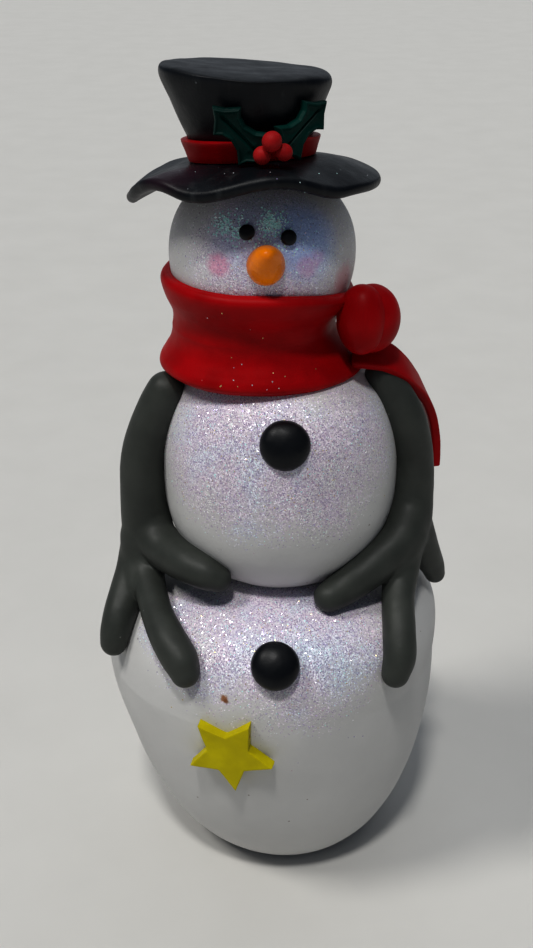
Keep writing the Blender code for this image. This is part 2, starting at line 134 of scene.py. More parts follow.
def facing(verts, place, direction, roll=0.0):
    # turns +Z to a direction and moves the origin to a place
    turn = Vector(direction).to_track_quat("Z", "Y").to_matrix() @ Matrix.Rotation(roll, 3, "Z")
    return verts @ np.array(turn).T + np.array(place)


def addPiece(name, verts, faces, clay, slotName, *nodes):
    mesh = bpy.data.meshes.new(name)
    mesh.from_pydata((np.asarray(verts) * mm).tolist(), [], faces)
    mesh.materials.append(clay)
    mesh.shade_smooth()
    obj = bpy.data.objects.new(name, mesh)
    scene.collection.objects.link(obj)
    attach(obj, "root")
    if nodes:
        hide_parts(*nodes)
    return obj


def knead(obj, voxel, smoothing):
    # melts a piece's joined parts into one skin and softens it
    remesh = obj.modifiers.new("oneSkin", "REMESH")
    remesh.mode = "VOXEL"
    remesh.voxel_size = voxel * mm
    remesh.use_smooth_shade = True
    soften = obj.modifiers.new("soften", "SMOOTH")
    soften.factor = 0.5
    soften.iterations = smoothing
    bpy.context.view_layer.update()
    graph = bpy.context.evaluated_depsgraph_get()
    mesh = bpy.data.meshes.new_from_object(obj.evaluated_get(graph))
    obj.modifiers.clear()
    mesh.name = obj.name
    obj.data = mesh
    mesh.shade_smooth()
    return obj


def reshape(obj, seed, waves, dents=(), swell=0.0):
    # byHand for a piece that is already made
    mesh = obj.data
    verts = np.empty(len(mesh.vertices) * 3)
    mesh.vertices.foreach_get("co", verts)
    faces = [tuple(face.vertices) for face in mesh.polygons]
    verts = byHand(verts.reshape(-1, 3) / mm, faces, seed, waves, dents, swell)
    mesh.vertices.foreach_set("co", (verts * mm).ravel())
    mesh.update()
    return obj


# Node helpers for the clays

def put(tree, kind, inputs=None, **settings):
    made = tree.nodes.new(kind)
    for key, value in settings.items():
        setattr(made, key, value)
    for key, value in (inputs or {}).items():
        if isinstance(value, bpy.types.NodeSocket):
            tree.links.new(value, made.inputs[key])
        else:
            made.inputs[key].default_value = value
    return made


def noise(tree, where, scale, detail=3.0, rough=0.55):
    return put(tree, "ShaderNodeTexNoise", {"Vector": where, "Scale": scale, "Detail": detail,
                                            "Roughness": rough}).outputs["Fac"]


def spread(tree, value, low, high, to0=0.0, to1=1.0):
    return put(tree, "ShaderNodeMapRange", {"Value": value, "From Min": low, "From Max": high, "To Min": to0,
                                            "To Max": to1}, interpolation_type="SMOOTHSTEP").outputs["Result"]


def sums(tree, how, a, b):
    return put(tree, "ShaderNodeMath", {0: a, 1: b}, operation=how).outputs[0]


def blend(tree, share, a, b, how="MIX"):
    a, b = ((*c, 1.0) if isinstance(c, tuple) and len(c) == 3 else c for c in (a, b))
    return put(tree, "ShaderNodeMix", {0: share, 6: a, 7: b}, data_type="RGBA", blend_type=how).outputs[2]


def ramp(tree, value, stops):
    made = put(tree, "ShaderNodeValToRGB", {"Fac": value})
    keys = made.color_ramp.elements
    while len(keys) < len(stops):
        keys.new(0.5)
    for key, (at, colour) in zip(keys, stops):
        key.position = at
        key.color = (*colour, 1.0)
    return made.outputs["Color"]


def newClay(name, specular=0.5):
    clay = bpy.data.materials.new(name)
    clay.use_nodes = True
    tree = clay.node_tree
    shader = tree.nodes["Principled BSDF"]
    shader.inputs["Specular IOR Level"].default_value = specular
    where = put(tree, "ShaderNodeTexCoord").outputs["Object"]
    return clay, tree, shader, where


def nearTo(tree, where, place, reach, ragged=0.0, fine=900.0):
    # 1 at a place (in millimetres) and 0 beyond its reach, with a ragged edge
    away = put(tree, "ShaderNodeVectorMath", {0: where, 1: [c * mm for c in place]},
               operation="DISTANCE").outputs["Value"]
    if ragged:
        wander = sums(tree, "MULTIPLY", sums(tree, "SUBTRACT", noise(tree, where, fine), 0.5), ragged * mm)
        away = sums(tree, "ADD", away, wander)
    return spread(tree, away, 0.35 * reach * mm, reach * mm, 1.0, 0.0)


def fleck(tree, where, scale, size, share):
    # scattered specks: share of the cells hold one, size is in cells
    cell = put(tree, "ShaderNodeTexVoronoi", {"Vector": where, "Scale": scale})
    pick = put(tree, "ShaderNodeSeparateColor", {"Color": cell.outputs["Color"]}).outputs["Red"]
    return sums(tree, "MULTIPLY", sums(tree, "LESS_THAN", cell.outputs["Distance"], size),
                sums(tree, "LESS_THAN", pick, share))


def addBump(tree, shader, height, strength, distance, normal=None):
    inputs = {"Height": height, "Strength": strength, "Distance": distance * mm}
    if normal is not None:
        inputs["Normal"] = normal
    made = put(tree, "ShaderNodeBump", inputs)
    tree.links.new(made.outputs["Normal"], shader.inputs["Normal"])
    return made.outputs["Normal"]


# Camera, light and floor

view = {
    "place": (-4.4, -240.0, 215.4),
    "downward": 26.8,
    "lens": 45.57,
}
camera = bpy.data.objects.new("camera", bpy.data.cameras.new("camera"))
scene.collection.objects.link(camera)
camera.location = [c * mm for c in view["place"]]
camera.rotation_euler = (math.radians(90 - view["downward"]), 0, 0)
camera.data.sensor_width = 36
camera.data.lens = view["lens"]
camera.data.clip_start = 0.01
camera.data.clip_end = 50
scene.camera = camera

# a key in front and overhead, a second one high on the left, and soft light from above and behind
lights = {
    "keyLight": {"from": (-0.08, -0.41, 0.91), "strength": 1.4, "softness": 6.0,
                 "colour": (1.0, 0.99, 0.97)},
    "windowLight": {"from": (-0.52, -0.20, 0.83), "strength": 1.35, "softness": 14.0,
                    "colour": (1.0, 0.985, 0.95)},
    "overheadLight": {"from": (0.12, 0.10, 1.0), "strength": 0.3, "softness": 60.0,
                      "colour": (1.0, 0.99, 0.97)},
    "backLight": {"from": (0.05, 0.86, 0.52), "strength": 0.38, "softness": 70.0,
                  "colour": (0.93, 0.97, 1.0)},
}
for name, light in lights.items():
    lamp = bpy.data.lights.new(name, "SUN")
    lamp.energy = light["strength"]
    lamp.angle = math.radians(light["softness"])  # how wide the light is in the sky
    lamp.color = light["colour"]
    sun = bpy.data.objects.new(name, lamp)
    scene.collection.objects.link(sun)
    sun.rotation_euler = Vector(light["from"]).to_track_quat("Z", "Y").to_euler()

surround = {"colour": (0.56, 0.68, 0.88), "strength": 0.15}
world = bpy.data.worlds.new("studio")
scene.world = world
world.use_nodes = True
world.node_tree.nodes["Background"].inputs["Color"].default_value = (*surround["colour"], 1)
world.node_tree.nodes["Background"].inputs["Strength"].default_value = surround["strength"]
scene.view_settings.view_transform = "Standard"
scene.view_settings.gamma = 0.8

floorClay, tree, shader, where = newClay("paleFloor", 0.3)
tone = noise(tree, where, 30.0, 4.0)
tree.links.new(blend(tree, tone, (0.58, 0.57, 0.545), (0.64, 0.63, 0.605)), shader.inputs["Base Color"])
shader.inputs["Roughness"].default_value = 0.7
bpy.ops.mesh.primitive_plane_add(size=12)
floor = bpy.context.active_object
floor.name = "floor"
floor.data.materials.append(floorClay)
print("camera, light and floor are set")


# The clays

def whiteClay(name, glitter, marks=()):
    # glitter lies thick in the middle of each of its patches and thins out to their reach
    clay, tree, shader, where = newClay(name, 0.4)
    cover = None
    for place, reach, much in glitter["patches"]:
        here = sums(tree, "MULTIPLY", nearTo(tree, where, place, reach, glitter["ragged"], 110.0), much)
        cover = here if cover is None else sums(tree, "MAXIMUM", cover, here)

    base = blend(tree, noise(tree, where, 55.0, 4.0), (0.56, 0.555, 0.545), (0.64, 0.635, 0.62))
    dirt = fleck(tree, where, 240.0, 0.055, 0.22)
    base = blend(tree, sums(tree, "MULTIPLY", dirt, 0.7), base, (0.16, 0.11, 0.08))

    # fine flakes: each cell of the pattern is one flake with its own tint and tilt
    grain = put(tree, "ShaderNodeTexVoronoi", {"Vector": where, "Scale": glitter["grain"]})
    flake = put(tree, "ShaderNodeSeparateColor", {"Color": grain.outputs["Color"]})
    here = sums(tree, "LESS_THAN", flake.outputs["Red"], cover)
    tint = ramp(tree, flake.outputs["Green"], [
        (0.00, (0.40, 0.36, 0.48)), (0.22, (0.50, 0.46, 0.58)), (0.44, (0.64, 0.61, 0.70)),
        (0.66, (0.78, 0.77, 0.82)), (0.88, (0.94, 0.94, 0.97)), (1.0, (0.80, 0.98, 0.95))])
    hue = ramp(tree, noise(tree, where, 75.0, 3.0), [
        (0.30, (0.87, 0.94, 1.0)), (0.44, (0.95, 0.93, 0.99)),
        (0.54, (1.0, 0.90, 0.95)), (0.68, (0.97, 0.95, 0.91))])
    pearl = blend(tree, 1.0, glitter["pearl"], hue, "MULTIPLY")
    base = blend(tree, sums(tree, "MULTIPLY", cover, 0.7), base, pearl)
    base = blend(tree, here, base, blend(tree, 1.0, tint, hue, "MULTIPLY"))

    # each mark is laid over the colour: real stains and blush, and on the head painted shade and a painted
    # reflection
    for place, reach, colour, strength, ragged in marks:
        share = sums(tree, "MULTIPLY", nearTo(tree, where, place, reach, ragged), strength)
        base = blend(tree, share, base, colour)
    tree.links.new(base, shader.inputs["Base Color"])

    rough = sums(tree, "ADD", sums(tree, "MULTIPLY", noise(tree, where, 300.0, 4.0), 0.2), 0.45)
    rough = sums(tree, "SUBTRACT", rough, sums(tree, "MULTIPLY", here, 0.22))
    tree.links.new(rough, shader.inputs["Roughness"])

    straight = put(tree, "ShaderNodeNewGeometry").outputs["Normal"]
    tilt = put(tree, "ShaderNodeVectorMath", {0: grain.outputs["Color"], 1: (0.5, 0.5, 0.5)},
               operation="SUBTRACT").outputs[0]
    lean = sums(tree, "MULTIPLY", here, glitter["tilt"])
    tilt = put(tree, "ShaderNodeVectorMath", {0: tilt, "Scale": lean}, operation="SCALE").outputs[0]
    tilted = put(tree, "ShaderNodeVectorMath", {0: straight, 1: tilt}, operation="ADD").outputs[0]
    tilted = put(tree, "ShaderNodeVectorMath", {0: tilted}, operation="NORMALIZE").outputs[0]
    fine = sums(tree, "MULTIPLY", noise(tree, where, 2600.0, 3.0), 0.25)
    addBump(tree, shader, sums(tree, "ADD", noise(tree, where, 420.0, 5.0), fine), 0.35, 0.22, tilted)
    return clay


def colouredClay(name, dark, pale, rough, dust=0.0, dustColour=(0.5, 0.5, 0.5), brush=None, skin=0.12,
                 specular=0.25, stainsAndReflections=()):
    clay, tree, shader, where = newClay(name, specular)
    patches = noise(tree, where, 110.0, 4.0)
    base = blend(tree, spread(tree, patches, 0.3, 0.7), dark, pale)
    streak = None
    if brush:  # dry marks pulled along one way
        along = put(tree, "ShaderNodeMapping", {"Vector": where, "Scale": brush["stretch"]}).outputs[0]
        streak = noise(tree, along, brush["scale"], 6.0, 0.65)
        marks = sums(tree, "MULTIPLY", spread(tree, streak, brush["from"], brush["to"]),
                     spread(tree, noise(tree, where, 60.0, 3.0), 0.42, 0.62))
        base = blend(tree, sums(tree, "MULTIPLY", marks, brush["much"]), base, brush["colour"])
    if dust:
        specks = fleck(tree, where, 520.0, 0.10, dust)
        base = blend(tree, sums(tree, "MULTIPLY", specks, 0.8), base, dustColour)
    # real stains, and on the hat a painted reflection of the red band
    for place, reach, colour, strength in stainsAndReflections:
        share = sums(tree, "MULTIPLY", nearTo(tree, where, place, reach, 2.0), strength)
        base = blend(tree, share, base, colour)
    tree.links.new(base, shader.inputs["Base Color"])
    wander = sums(tree, "MULTIPLY", sums(tree, "SUBTRACT", noise(tree, where, 260.0, 5.0), 0.5), 0.3)
    tree.links.new(sums(tree, "ADD", wander, rough), shader.inputs["Roughness"])
    height = noise(tree, where, 500.0, 5.0)
    height = sums(tree, "ADD", height, sums(tree, "MULTIPLY", noise(tree, where, 3200.0, 3.0), 0.3))
    if streak is not None:
        height = sums(tree, "ADD", height, sums(tree, "MULTIPLY", streak, 0.8))
    addBump(tree, shader, height, 0.4, skin)
    return clay


def flakeFoil(name, dark, pale, metal=0.6, rough=0.25):
    # one kind of foil that loose flakes are cut from
    clay, tree, shader, where = newClay(name, 0.5)
    shade = put(tree, "ShaderNodeTexVoronoi", {"Vector": where, "Scale": 2600.0}).outputs["Color"]
    pick = put(tree, "ShaderNodeSeparateColor", {"Color": shade}).outputs["Blue"]
    tree.links.new(blend(tree, pick, dark, pale), shader.inputs["Base Color"])
    shader.inputs["Metallic"].default_value = metal
    shader.inputs["Roughness"].default_value = rough
    return clay


redClay = colouredClay("redClay", (0.30, 0.001, 0.003), (0.40, 0.002, 0.005), 0.44, 0.01, (0.5, 0.1, 0.1),
                       specular=0.08)
berryClay = colouredClay("berryClay", (0.33, 0.008, 0.010), (0.43, 0.016, 0.017), 0.54, specular=0.12)
charcoalClay = colouredClay("charcoalClay", (0.037, 0.041, 0.036), (0.052, 0.057, 0.050), 0.50, 0.05,
                            (0.17, 0.18, 0.16), specular=0.3)
hatClay = colouredClay("hatClay", (0.0018, 0.0030, 0.0055), (0.0045, 0.0062, 0.009), 0.42, 0.05,
                       (0.10, 0.11, 0.12),
                       {"stretch": (1.0, 1.0, 0.35), "scale": 420.0, "from": 0.50, "to": 0.72, "much": 0.4,
                        "colour": (0.050, 0.056, 0.058)}, 0.2, 0.24,
                       # reddish-purple tint on the brim by the band: partly purple glitter in the clay,
                       # partly a painted reflection of the red band
                       [((-22.0, -14.0, 164.5), 8.0, (0.030, 0.008, 0.018), 0.6)])
blackClay = colouredClay("blackClay", (0.003, 0.004, 0.006), (0.008, 0.009, 0.011), 0.38, 0.06,
                         (0.10, 0.11, 0.12))
greenClay = colouredClay("greenClay", (0.0002, 0.016, 0.0135), (0.0006, 0.038, 0.030), 0.44, 0.02,
                         (0.2, 0.3, 0.27), specular=0.1)
orangeClay = colouredClay("orangeClay", (0.78, 0.20, 0.001), (0.92, 0.27, 0.002), 0.28, specular=0.25)
yellowClay = colouredClay("yellowClay", (0.47, 0.40, 0.0008), (0.60, 0.52, 0.0015), 0.50, 0.012,
                          (0.30, 0.14, 0.01), specular=0.12,
                          stainsAndReflections=[((-8.2, -39.2, 51.9), 0.9, (0.30, 0.10, 0.01), 0.8)])
foils = [
    flakeFoil("silverFoil", (0.75, 0.76, 0.80), (0.95, 0.95, 1.0)),
    flakeFoil("violetFoil", (0.42, 0.34, 0.62), (0.66, 0.58, 0.86)),
    flakeFoil("pinkFoil", (0.72, 0.46, 0.60), (0.92, 0.68, 0.80)),
    flakeFoil("tealFoil", (0.50, 0.96, 0.92), (0.82, 1.0, 1.0), 0.0, 0.35),
    flakeFoil("goldFoil", (0.62, 0.44, 0.16), (0.92, 0.76, 0.40)),
]
print("clays are mixed")


# The three balls

def quarter(radius, height, power, count=60):
    angle = np.linspace(0, np.pi / 2, count)
    return np.stack([radius * np.sin(angle) ** (2 / power), height * np.cos(angle) ** (2 / power)], axis=1)


belly = {
    "foot": 18.1, "radius": 38.7, "widest": 52.0, "top": 23.4, "shoulder": 3.0,
    "lean": (-3.4, 2.4),
    "grid": 0.55, "steps": 420,
    "waves": [(0.30, 34.0), (0.10, 11.0)],
    "dents": [(-36.0, -12.0, 34.0, 7.0, 0.35), (-30.0, -15.0, 18.0, 6.0, 0.3), (24.0, -26.0, 38.0, 8.0, 0.25),
              (4.0, -36.0, 33.0, 7.0, 0.2), (12.0, -33.0, 50.0, 6.0, 0.15), (-3.4, 38.6, 52.0, 16.0, 0.15)],
    "glitter": {"patches": [((1.0, -27.0, 70.0), 24.0, 0.9), ((-14.0, -28.0, 69.0), 17.0, 0.88),
                            ((14.0, -27.0, 72.0), 17.0, 0.65), ((-24.0, -24.0, 72.0), 13.0, 0.85),
                            ((0.0, 26.0, 72.0), 24.0, 0.3)],
                "ragged": 12.0, "grain": 4300.0, "tilt": 0.65, "pearl": (0.68, 0.665, 0.72)},
    "marks": [((-13.4, -36.6, 59.9), 1.15, (0.30, 0.12, 0.035), 0.95, 1.6),
              ((-12.9, -36.9, 59.3), 0.7, (0.20, 0.07, 0.02), 0.9, 1.0)],
}


def makeBelly():
    b = belly
    shoulder = quarter(b["radius"], b["top"], b["shoulder"])
    height = np.linspace(1, 0, 160) ** 1.5
    depth = 1 - height
    below = b["foot"] + (b["radius"] - b["foot"]) * (1 - depth ** 1.67) ** 0.581
    outline = np.vstack([shoulder + (0, b["widest"]),
                         np.stack([below, height * b["widest"]], axis=1)[1:], [[b["foot"] * 0.5, 0], [0, 0]]])
    outline = evenly(outline, b["grid"])
    outline[0, 0] = outline[-1, 0] = 0
    verts, faces = turned(outline, b["steps"])
    verts[:, 0] += b["lean"][0] * np.minimum(verts[:, 2] / b["widest"], 1)
    verts[:, 0] += b["lean"][1] * np.maximum(verts[:, 2] - b["widest"], 0) / b["top"]
    worked = byHand(verts, faces, 3, b["waves"], b["dents"])
    verts += (worked - verts) * step(verts[:, 2], 0.0, 4.0)[:, None]  # the underside stays flat
    clay = whiteClay("whiteClayBelly", b["glitter"], b["marks"])
    return addPiece("bellyBall", verts, faces, clay, "white_clay", "lower_ball")


chest = {
    "centre": (-1.3, 0.0, 97.3), "radius": 26.3, "above": (27.2, 2.8), "below": (26.5, 2.55),
    "grid": 0.5, "steps": 320,
    "waves": [(0.22, 26.0), (0.08, 9.0)],
    "dents": [(-14.0, -21.0, 92.0, 5.0, 0.2), (14.0, -22.0, 100.0, 6.0, 0.2)],
    "glitter": {"patches": [((-9.0, -20.0, 111.0), 24.0, 0.85), ((4.0, -24.0, 107.0), 19.0, 0.85),
                            ((13.0, -19.0, 111.0), 16.0, 0.6), ((0.0, 22.0, 108.0), 22.0, 0.3)],
                "ragged": 10.0, "grain": 4500.0, "tilt": 0.6, "pearl": (0.70, 0.68, 0.72)},
    "marks": [((-19.5, -16.2, 103.5), 0.5, (0.16, 0.07, 0.06), 0.9, 0.5),
              ((-18.6, -17.1, 103.1), 0.4, (0.16, 0.07, 0.06), 0.9, 0.4),
              ((-19.4, -18.0, 91.5), 0.45, (0.20, 0.13, 0.10), 0.8, 0.5)],
}
head = {
    "centre": (-5.3, 0.0, 145.6), "radius": 19.2, "above": (17.2, 2.15), "below": (20.7, 2.0),
    "grid": 0.45, "steps": 260,
    "waves": [(0.14, 20.0), (0.06, 8.0)],
    "dents": [],
    "glitter": {"patches": [((-5.0, -17.0, 149.0), 20.0, 0.72), ((-5.0, 0.0, 150.0), 24.0, 0.3)],
                "ragged": 6.0, "grain": 4900.0, "tilt": 0.6, "pearl": (0.66, 0.66, 0.76)},
    # the first two marks are painted shade: a blue tint on the forehead where the brim's shadow falls,
    # standing for the blue the glitter shows there in shade. The next three are the pink of the cheeks
    "marks": [((2.5, -16.0, 152.5), 10.5, (0.22, 0.40, 0.80), 0.55, 3.0),
              ((-9.0, -17.0, 153.5), 9.0, (0.38, 0.42, 0.68), 0.42, 3.0),
              ((-13.56, -17.2, 147.7), 3.3, (0.72, 0.24, 0.40), 0.62, 2.4),
              ((3.49, -17.0, 147.2), 3.0, (0.72, 0.26, 0.42), 0.38, 2.6),
              ((5.49, -15.6, 148.5), 2.4, (0.70, 0.26, 0.42), 0.28, 2.4),
              # painted reflection: red light thrown from the scarf onto the side of the head just above it
              ((11.2, -9.8, 142.4), 4.4, (0.66, 0.20, 0.24), 0.42, 2.0)],
}


def makeBall(name, b, seed, node):
    above = quarter(b["radius"], *b["above"])
    below = quarter(b["radius"], *b["below"])[::-1] * (1, -1)
    outline = evenly(np.vstack([above, below[1:]]), b["grid"])
    outline[0, 0] = outline[-1, 0] = 0
    verts, faces = turned(outline, b["steps"])
    verts = byHand(verts + b["centre"], faces, seed, b["waves"], b["dents"])
    clay = whiteClay("whiteClay" + name[0].upper() + name[1:], b["glitter"], b["marks"])
    return addPiece(name, verts, faces, clay, "white_clay", node)


bellyBall = makeBelly()
chestBall = makeBall("chestBall", chest, 5, "middle_ball")
headBall = makeBall("headBall", head, 8, "head")
print("balls are stacked")


# Scarf

scarf = {
    "x": -5.0, "waist": 130.3, "rim": 141.0, "rimDrop": 3.0, "waistShift": -2.0, "hemFlat": 0.12,
    "outer": [(19.8, 142.0), (20.9, 141.5), (21.2, 140.2), (20.0, 137.4), (17.8, 133.8), (17.2, 130.4),
              (18.2, 127.4), (20.0, 125.0), (21.3, 123.4), (21.8, 122.1), (21.2, 121.2)],
    "inner": [(19.4, 120.8), (14.6, 125.4), (13.6, 131.0), (18.4, 141.0)],
    "steps": 300, "waves": [(0.14, 16.0), (0.06, 6.0)],
}


def makeCollar():
    s = scarf
    outline = smoothPath(s["outer"] + s["inner"], 150, loop=True)
    verts, faces = turned(outline, s["steps"], ring=True)
    verts[:, 0] += s["x"]
    level = (verts[:, 2] - s["waist"]) / (s["rim"] - s["waist"])
    towardKnot = np.maximum(0, (verts[:, 0] - s["x"]) / head["radius"]) ** 2
    verts[:, 0] += s["waistShift"] * np.maximum(0, 1 - np.abs(level))
    verts[:, 0] -= 0.6 * s["rimDrop"] * towardKnot * np.maximum(0, level)
    verts[:, 2] -= s["rimDrop"] * towardKnot * np.maximum(0, level)
    verts[:, 1] *= 1 - s["hemFlat"] * np.maximum(0, -level)
    verts = byHand(verts, faces, 12, s["waves"])
    return addPiece("scarfCollar", verts, faces, redClay, "red_clay", "scarf_wrap")


knots = {
    "front": {"place": (14.8, -9.8, 134.0), "half": (5.1, 5.3, 7.4), "turn": 24.0},
    "back": {"place": (17.0, -7.6, 133.5), "half": (6.0, 5.5, 7.2), "turn": 8.0},
}


def makeKnot(name, lobe, seed, node):
    ball = quarter(1.0, 1.0, 2.0, 50)
    outline = np.vstack([ball, ball[::-1][1:] * (1, -1)])
    outline[0, 0] = outline[-1, 0] = 0
    verts, faces = turned(outline, 120)
    turn = np.array(Matrix.Rotation(math.radians(lobe["turn"]), 3, "Z"))
    verts = (verts * lobe["half"]) @ turn.T + lobe["place"]
    verts = byHand(verts, faces, seed, [(0.10, 9.0), (0.04, 4.0)])
    return addPiece(name, verts, faces, redClay, "red_clay", node)


tail = {
    "route": [((13.4, -5.6, 125.3), (0.0, -0.60, 0.80)), ((17.2, -6.0, 125.2), (0.10, -0.60, 0.79)),
              ((20.6, -5.4, 124.3), (0.20, -0.56, 0.80)), ((23.5, -4.0, 122.0), (0.42, -0.46, 0.78)),
              ((26.5, -1.6, 118.4), (0.66, -0.26, 0.70)), ((29.4, 1.2, 113.6), (0.86, 0.02, 0.50)),
              ((31.3, 3.2, 108.4), (0.94, 0.20, 0.26)), ((32.3, 4.2, 103.2), (0.96, 0.27, 0.08)),
              ((32.7, 4.2, 98.6), (0.96, 0.28, 0.0)), ((32.7, 4.0, 95.4), (0.96, 0.28, 0.0))],
    "width": 7.0, "thick": 2.1, "soft": 0.5,
    "voxel": 0.22, "smoothing": 6, "waves": [(0.08, 9.0)],
}


def makeTail():
    t = tail
    middle = smoothPath([place for place, _ in t["route"]], 110)
    outward = smoothPath([way for _, way in t["route"]], 110)
    along = np.gradient(middle, axis=0)
    across = np.cross(along, outward)
    across /= np.linalg.norm(across, axis=1, keepdims=True)
    outward = np.cross(across, along)
    outward /= np.linalg.norm(outward, axis=1, keepdims=True)
    # a strip's cross-section with rolled edges
    w, h, r = t["width"] / 2, t["thick"] / 2, t["soft"]
    corner = np.linspace(0, np.pi / 2, 7)
    section = []
    for side, (sx, sy) in enumerate([(1, 1), (-1, 1), (-1, -1), (1, -1)]):
        sweep = corner if side % 2 == 0 else corner[::-1]
        section += [(sx * (w - r + r * np.cos(a)), sy * (h - r + r * np.sin(a))) for a in sweep]
    section = evenly(np.array(section + section[:1]), 0.3)[:-1]
    section = section[::-1]
    rows = (middle[:, None, :] + section[None, :, :1] * across[:, None, :]
            + section[None, :, 1:] * outward[:, None, :])
    verts, faces = loft(rows, top=middle[0], bottom=middle[-1])
    obj = addPiece("scarfTail", verts, faces, redClay, "red_clay", "scarf_tail")
    knead(obj, t["voxel"], t["smoothing"])
    return reshape(obj, 21, t["waves"])


collar = makeCollar()
makeKnot("knotFront", knots["front"], 14, "scarf_knot_front")
makeKnot("knotBack", knots["back"], 17, "scarf_knot_back")
makeTail()
print("scarf is tied")


# Arms: each is one rope of clay forked into three fingers

arms = {
    "left": {
        "limb": [(-25.6, -4.6, 116.2, 4.2), (-27.4, -4.8, 112.4, 4.5), (-29.8, -4.5, 106.4, 4.7),
                 (-31.4, -4.3, 100.0, 4.8), (-31.7, -4.6, 93.0, 4.9), (-31.4, -5.0, 86.5, 5.3),
                 (-30.8, -6.0, 81.0, 5.6)],
        "fingers": [
            [(-30.6, -5.2, 86.2, 4.8), (-29.4, -7.6, 82.8, 4.8), (-26.6, -11.0, 81.2, 4.6),
             (-23.7, -14.8, 81.2, 4.3), (-20.7, -18.2, 81.3, 4.0), (-17.6, -20.4, 80.8, 3.6),
             (-14.8, -20.9, 79.6, 2.9)],
            [(-31.3, -5.0, 84.6, 4.9), (-31.8, -6.8, 79.2, 4.5), (-31.3, -9.8, 75.4, 4.0),
             (-30.2, -14.4, 73.4, 3.5), (-28.0, -21.8, 71.4, 3.4), (-25.2, -28.4, 69.3, 3.7),
             (-22.6, -32.6, 66.9, 3.8), (-21.5, -34.2, 64.7, 3.1)],
            [(-31.6, -4.8, 84.2, 4.9), (-32.8, -6.0, 78.6, 4.5), (-34.2, -8.6, 74.0, 4.0),
             (-35.6, -12.2, 70.8, 3.8), (-36.9, -15.9, 67.6, 3.6), (-37.8, -17.9, 64.4, 3.4),
             (-38.3, -18.6, 61.8, 3.0)]],
        "webs": [[(-32.2, -6.0, 82.0, 4.9), (-32.6, -8.0, 76.6, 4.3), (-32.9, -12.6, 72.6, 3.3)]],
        "dents": [(-26.4, -10.6, 110.2, 1.5, 0.35), (-28.6, -10.0, 110.9, 1.3, 0.22)],
    },
    "right": {
        "limb": [(19.7, -4.8, 119.8, 3.4), (22.2, -5.5, 116.4, 3.8), (24.7, -6.8, 112.4, 4.0),
                 (26.4, -6.8, 107.6, 4.0), (27.7, -5.6, 101.0, 4.1), (27.8, -5.9, 93.5, 4.5),
                 (27.0, -8.2, 87.5, 5.0), (25.4, -10.4, 83.6, 4.9)],
        "fingers": [
            [(27.0, -8.2, 88.6, 4.8), (25.2, -11.4, 84.6, 4.7), (21.0, -15.2, 81.8, 4.4),
             (16.3, -18.4, 79.3, 4.1), (11.9, -20.2, 76.8, 3.8), (9.0, -22.2, 75.9, 3.2)],
            [(26.6, -8.8, 87.4, 4.7), (25.9, -11.2, 82.4, 4.3), (25.1, -14.4, 77.6, 3.9),
             (24.2, -19.2, 73.8, 3.5), (24.0, -25.9, 69.8, 3.5), (23.9, -29.6, 65.6, 3.4),
             (23.0, -31.1, 62.2, 2.9)],
            [(27.4, -7.6, 88.4, 4.3), (29.2, -7.6, 83.0, 3.9), (31.4, -6.0, 77.6, 3.3),
             (33.3, -4.2, 73.4, 2.8), (34.5, -2.6, 69.9, 2.3)]],
        "webs": [[(26.2, -10.4, 84.8, 4.9), (24.4, -13.2, 81.2, 4.4), (23.2, -15.2, 79.2, 3.5)]],
        "dents": [],
    },
    "voxel": 0.36, "smoothing": 18,
    "swell": 0.22,  # what the smoothing takes off is put back
    "waves": [(0.14, 14.0), (0.05, 5.0)],
}


def rope(stations):
    # a round rope through (x, y, z, radius) stations, with round ends
    path = smoothPath(stations, 14 * len(stations))
    middle, radius = path[:, :3], path[:, 3]
    along = np.gradient(middle, axis=0)
    along /= np.linalg.norm(along, axis=1, keepdims=True)
    cap = np.linspace(0, np.pi / 2, 9)[1:-1]
    start = [(middle[0] - along[0] * radius[0] * math.cos(a), radius[0] * math.sin(a), along[0]) for a in cap]
    stop = [(middle[-1] + along[-1] * radius[-1] * math.cos(a), radius[-1] * math.sin(a), along[-1])
            for a in cap[::-1]]
    rings = start + list(zip(middle, radius, along)) + stop
    angle = np.linspace(0, 2 * np.pi, 48, endpoint=False)
    rows = []
    side = Vector((0.0, 0.0, 1.0)).cross(Vector(along[0]))
    side = side.normalized() if side.length > 0.2 else Vector((1.0, 0.0, 0.0))
    for centre, size, way in rings:
        way = Vector(way)
        side = (side - way * side.dot(way)).normalized()
        other = np.array(way.cross(side))
        across = np.outer(np.cos(angle), np.array(side))
        rows.append(centre - size * (across - np.outer(np.sin(angle), other)))
    tipA = middle[0] - along[0] * radius[0]
    tipB = middle[-1] + along[-1] * radius[-1]
    return loft(np.array(rows), top=tipA, bottom=tipB)


def makeArm(name, a, seed, node):
    allVerts, allFaces = [], []
    for stations in [a["limb"]] + a["fingers"] + a["webs"]:
        verts, faces = rope(stations)
        shift = sum(len(v) for v in allVerts)
        allVerts.append(verts)
        allFaces += [tuple(i + shift for i in face) for face in faces]
    obj = addPiece(name, np.vstack(allVerts), allFaces, charcoalClay, "charcoal_clay", node)
    knead(obj, arms["voxel"], arms["smoothing"])
    return reshape(obj, seed, arms["waves"], a["dents"], arms["swell"])


makeArm("armLeft", arms["left"], 31, "arm_left")
makeArm("armRight", arms["right"], 37, "arm_right")
print("arms are rolled")


# Hat

